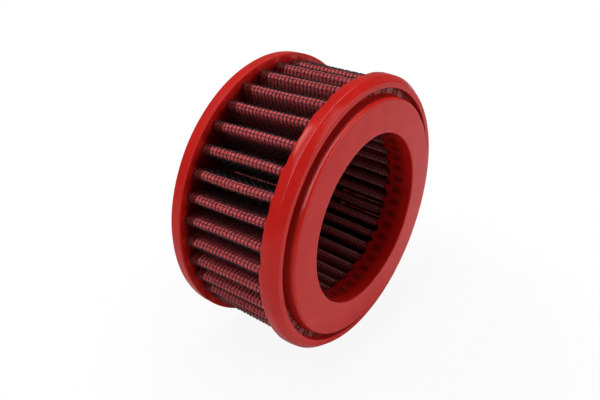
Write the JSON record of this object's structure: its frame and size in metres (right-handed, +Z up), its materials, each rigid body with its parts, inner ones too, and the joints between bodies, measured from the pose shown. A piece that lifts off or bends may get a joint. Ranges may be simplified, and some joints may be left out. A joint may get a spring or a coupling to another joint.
{
  "type": "motorcycle air filter",
  "caption": "Round pleated oiled-gauze air filter element with wire mesh faces, a moulded sealing ring with an outlet bore at one end and a moulded closed cap at the other.",
  "frame": {"origin": "centre of the outlet bore at the sealing face of the front cap", "axes": "+Y along the element's axis from the sealing face to the closed cap, +Z up with the element lying on the rims of its caps"},
  "size_m": [0.1, 0.045, 0.1],
  "materials": {
    "red_polyurethane": "moulded red polyurethane, satin, slightly translucent",
    "coated_wire": "dark grey epoxy-coated woven wire, plain weave",
    "oiled_gauze": "cotton gauze soaked in red filter oil",
    "clip_aluminium": "mill finish folded sheet"
  },
  "bodies": {
    "root": {"front_cap": "red_polyurethane", "rear_cap": "red_polyurethane", "outer_mesh": "coated_wire", "gauze_1": "oiled_gauze", "gauze_2": "oiled_gauze", "gauze_3": "oiled_gauze", "gauze_4": "oiled_gauze", "inner_mesh": "coated_wire", "seam_clip": "clip_aluminium"}
  },
  "joints": []
}
